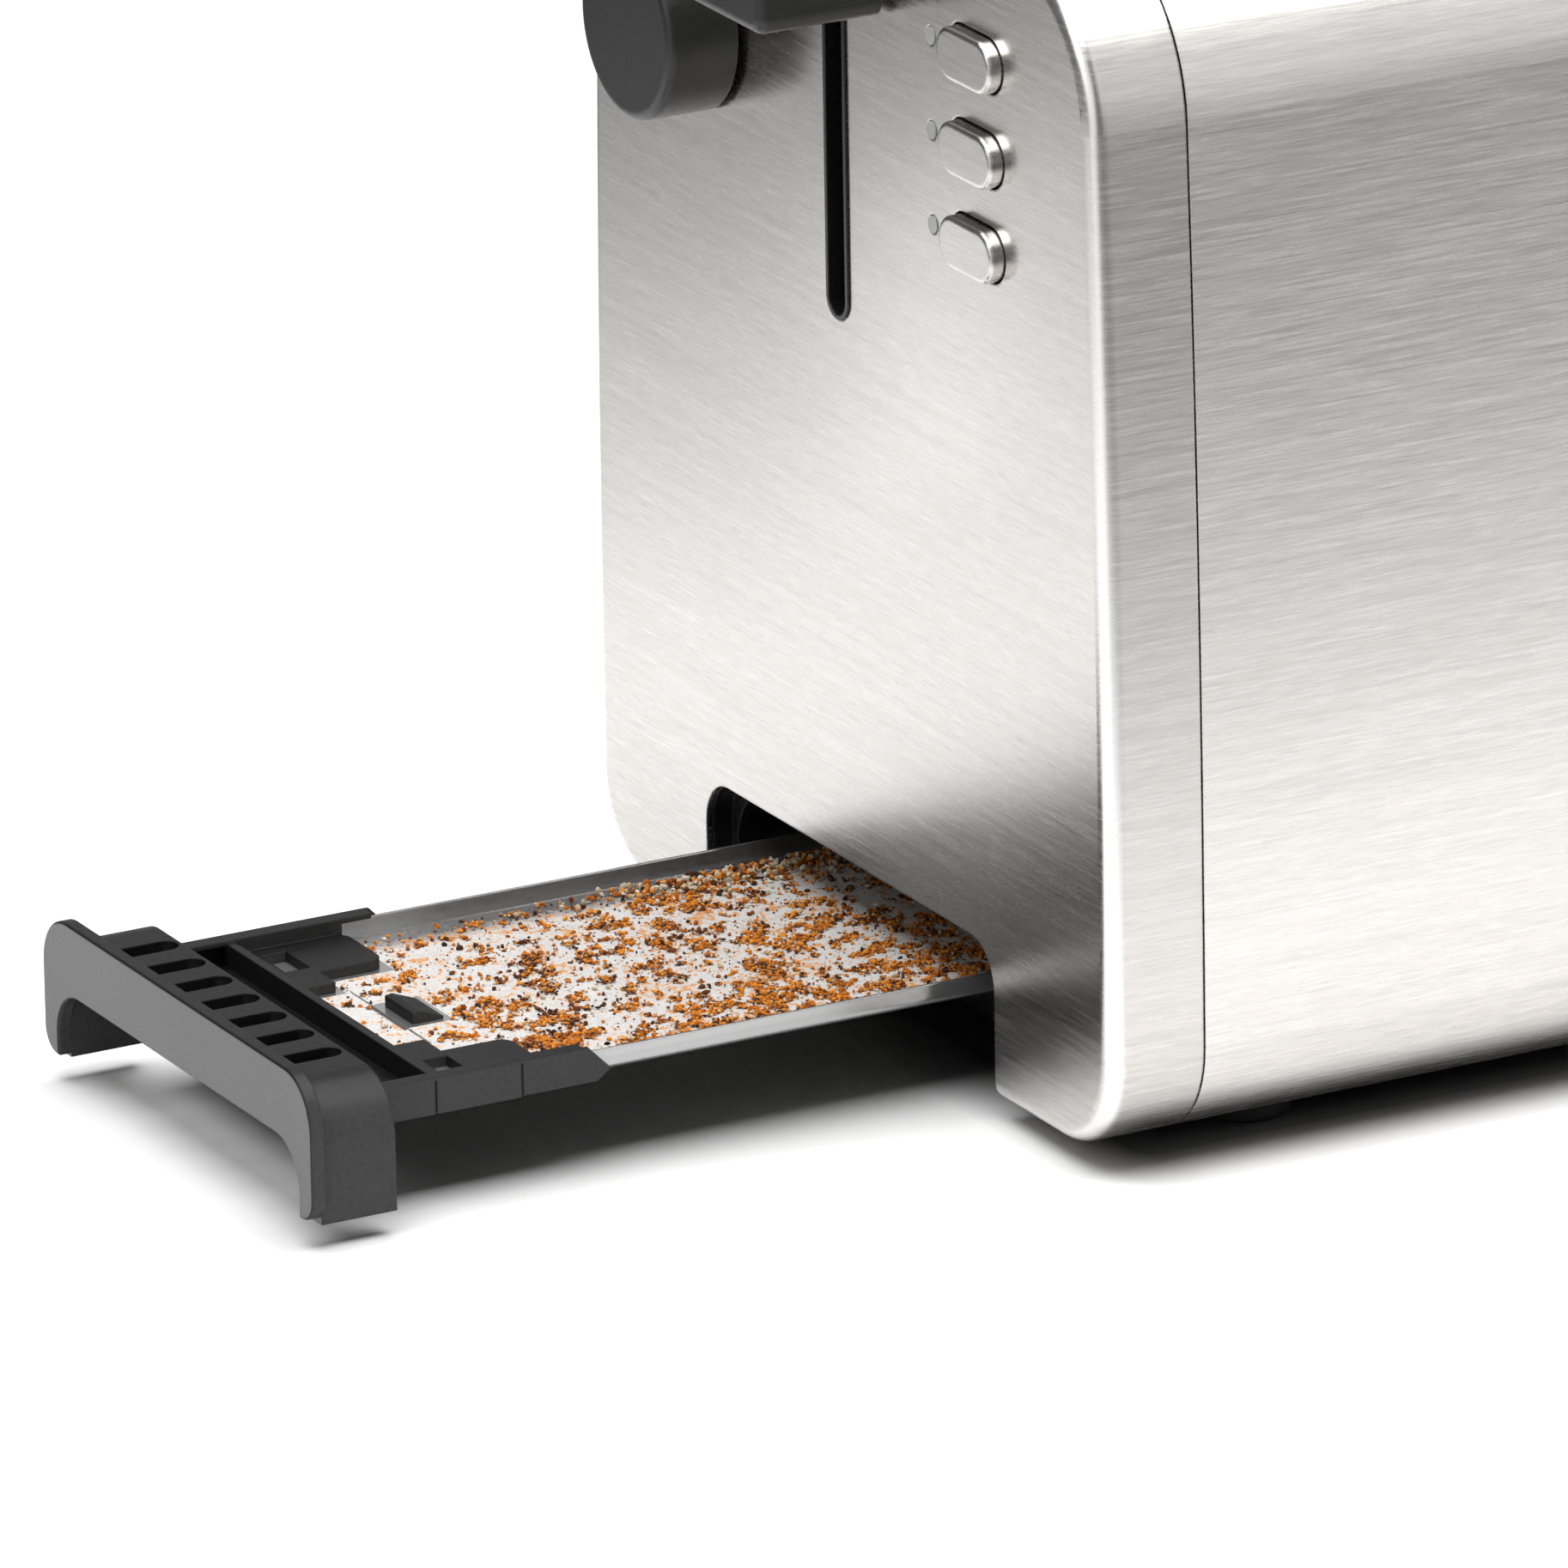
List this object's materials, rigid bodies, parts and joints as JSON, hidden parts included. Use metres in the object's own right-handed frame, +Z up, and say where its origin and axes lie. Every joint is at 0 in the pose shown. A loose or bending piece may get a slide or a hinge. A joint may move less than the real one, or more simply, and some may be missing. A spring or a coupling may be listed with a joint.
{
  "type": "pop up toaster",
  "caption": "Long pop up toaster in brushed steel with bread slots on top, a lever, dial and push buttons on one end, and a pull-out crumb tray with an arched plastic handle.",
  "frame": {"origin": "on the table, under the middle of the steel casing", "axes": "-X towards the end with the lever and the crumb tray, +Y to the side with the dial, +Z up"},
  "size_m": [0.4485, 0.179, 0.2067],
  "materials": {
    "brushed_steel": "brushed",
    "black_plastic": "gloss",
    "tray_plastic": "fine texture",
    "tray_steel": "polished",
    "button_metal": "satin",
    "rubber": "matte",
    "galvanised_steel": "satin",
    "bright_wire": "drawn",
    "mica": "flaky",
    "copper": "enamelled",
    "circuit_board": "gloss",
    "lens": "frosted"
  },
  "bodies": {
    "casing": {"base_plate": "black_plastic", "base_screws": "galvanised_steel", "board_components": "black_plastic", "body_wrap": "brushed_steel", "bread_slot_frame": "black_plastic", "button_carrier": "black_plastic", "centre_heater_board": "mica", "control_board": "circuit_board", "cord_gland": "black_plastic", "dial_sensor": "black_plastic", "front_cap_frame": "black_plastic", "front_end_cap": "brushed_steel", "front_frame": "galvanised_steel", "guide_rods": "bright_wire", "heater_ribbons": "bright_wire", "indicator_lenses": "lens", "left_heater_board": "mica", "left_reflector": "galvanised_steel", "left_tray_rail": "black_plastic", "lever_slot_liner": "black_plastic", "lower_bracket": "galvanised_steel", "magnet_coil": "copper", "magnet_core": "galvanised_steel", "main_switch": "black_plastic", "rear_cap_frame": "black_plastic", "rear_end_cap": "brushed_steel", "rear_frame": "galvanised_steel", "return_spring": "bright_wire", "right_heater_board": "mica", "right_reflector": "galvanised_steel", "right_tray_rail": "black_plastic", "rubber_feet": "rubber", "tactile_switches": "black_plastic", "terminal_block": "black_plastic", "top_bracket": "galvanised_steel", "tray_bezel": "black_plastic"},
    "crumb_tray": {"tray_pan": "tray_steel", "tray_handle": "tray_plastic", "tray_frame": "tray_plastic", "tray_catch": "tray_plastic"},
    "lever_carriage": {"lever_knob": "tray_plastic", "carriage_bracket": "galvanised_steel", "carriage_bushes": "tray_plastic", "left_bread_lifter": "galvanised_steel", "right_bread_lifter": "galvanised_steel", "armature_plate": "galvanised_steel"},
    "left_outer_guard": {"guard_left_outer": "bright_wire"},
    "left_inner_guard": {"guard_left_inner": "bright_wire"},
    "right_inner_guard": {"guard_right_inner": "bright_wire"},
    "right_outer_guard": {"guard_right_outer": "bright_wire"},
    "stop_button": {"stop_button": "button_metal"},
    "defrost_button": {"defrost_button": "button_metal"},
    "reheat_button": {"reheat_button": "button_metal"},
    "browning_dial": {"browning_dial": "tray_plastic"}
  },
  "joints": [
    {"name": "tray_slide", "type": "slide", "parent": "casing", "child": "crumb_tray", "axis": [-1, 0, 0], "range_m": [-0.1254, 0.11]},
    {"name": "lever_slide", "type": "slide", "parent": "casing", "child": "lever_carriage", "axis": [0, 0, -1], "range_m": [0, 0.057], "stiffness_N_per_m": 45, "springref_m": -0.08, "deforming": ["return_spring"]},
    {"name": "left_outer_guard_slide", "type": "slide", "parent": "casing", "child": "left_outer_guard", "axis": [0, -1, 0], "range_m": [0, 0.005]},
    {"name": "left_inner_guard_slide", "type": "slide", "parent": "casing", "child": "left_inner_guard", "axis": [0, 1, 0], "range_m": [0, 0.005]},
    {"name": "right_inner_guard_slide", "type": "slide", "parent": "casing", "child": "right_inner_guard", "axis": [0, -1, 0], "range_m": [0, 0.005]},
    {"name": "right_outer_guard_slide", "type": "slide", "parent": "casing", "child": "right_outer_guard", "axis": [0, 1, 0], "range_m": [0, 0.005]},
    {"name": "stop_press", "type": "slide", "parent": "casing", "child": "stop_button", "axis": [1, 0, 0], "range_m": [0, 0.0018], "stiffness_N_per_m": 400, "springref_m": -0.001},
    {"name": "defrost_press", "type": "slide", "parent": "casing", "child": "defrost_button", "axis": [1, 0, 0], "range_m": [0, 0.0018], "stiffness_N_per_m": 400, "springref_m": -0.001},
    {"name": "reheat_press", "type": "slide", "parent": "casing", "child": "reheat_button", "axis": [1, 0, 0], "range_m": [0, 0.0018], "stiffness_N_per_m": 400, "springref_m": -0.001},
    {"name": "dial_turn", "type": "hinge", "parent": "casing", "child": "browning_dial", "pos_m": [-0.168, 0.048, 0.165], "axis": [-1, 0, 0], "range_deg": [-140, 140]}
  ],
  "couplings": [
    {"joint": "left_outer_guard_slide", "follows": "lever_slide", "ratio": 0.087719},
    {"joint": "left_inner_guard_slide", "follows": "lever_slide", "ratio": 0.087719},
    {"joint": "right_inner_guard_slide", "follows": "lever_slide", "ratio": 0.087719},
    {"joint": "right_outer_guard_slide", "follows": "lever_slide", "ratio": 0.087719}
  ]
}
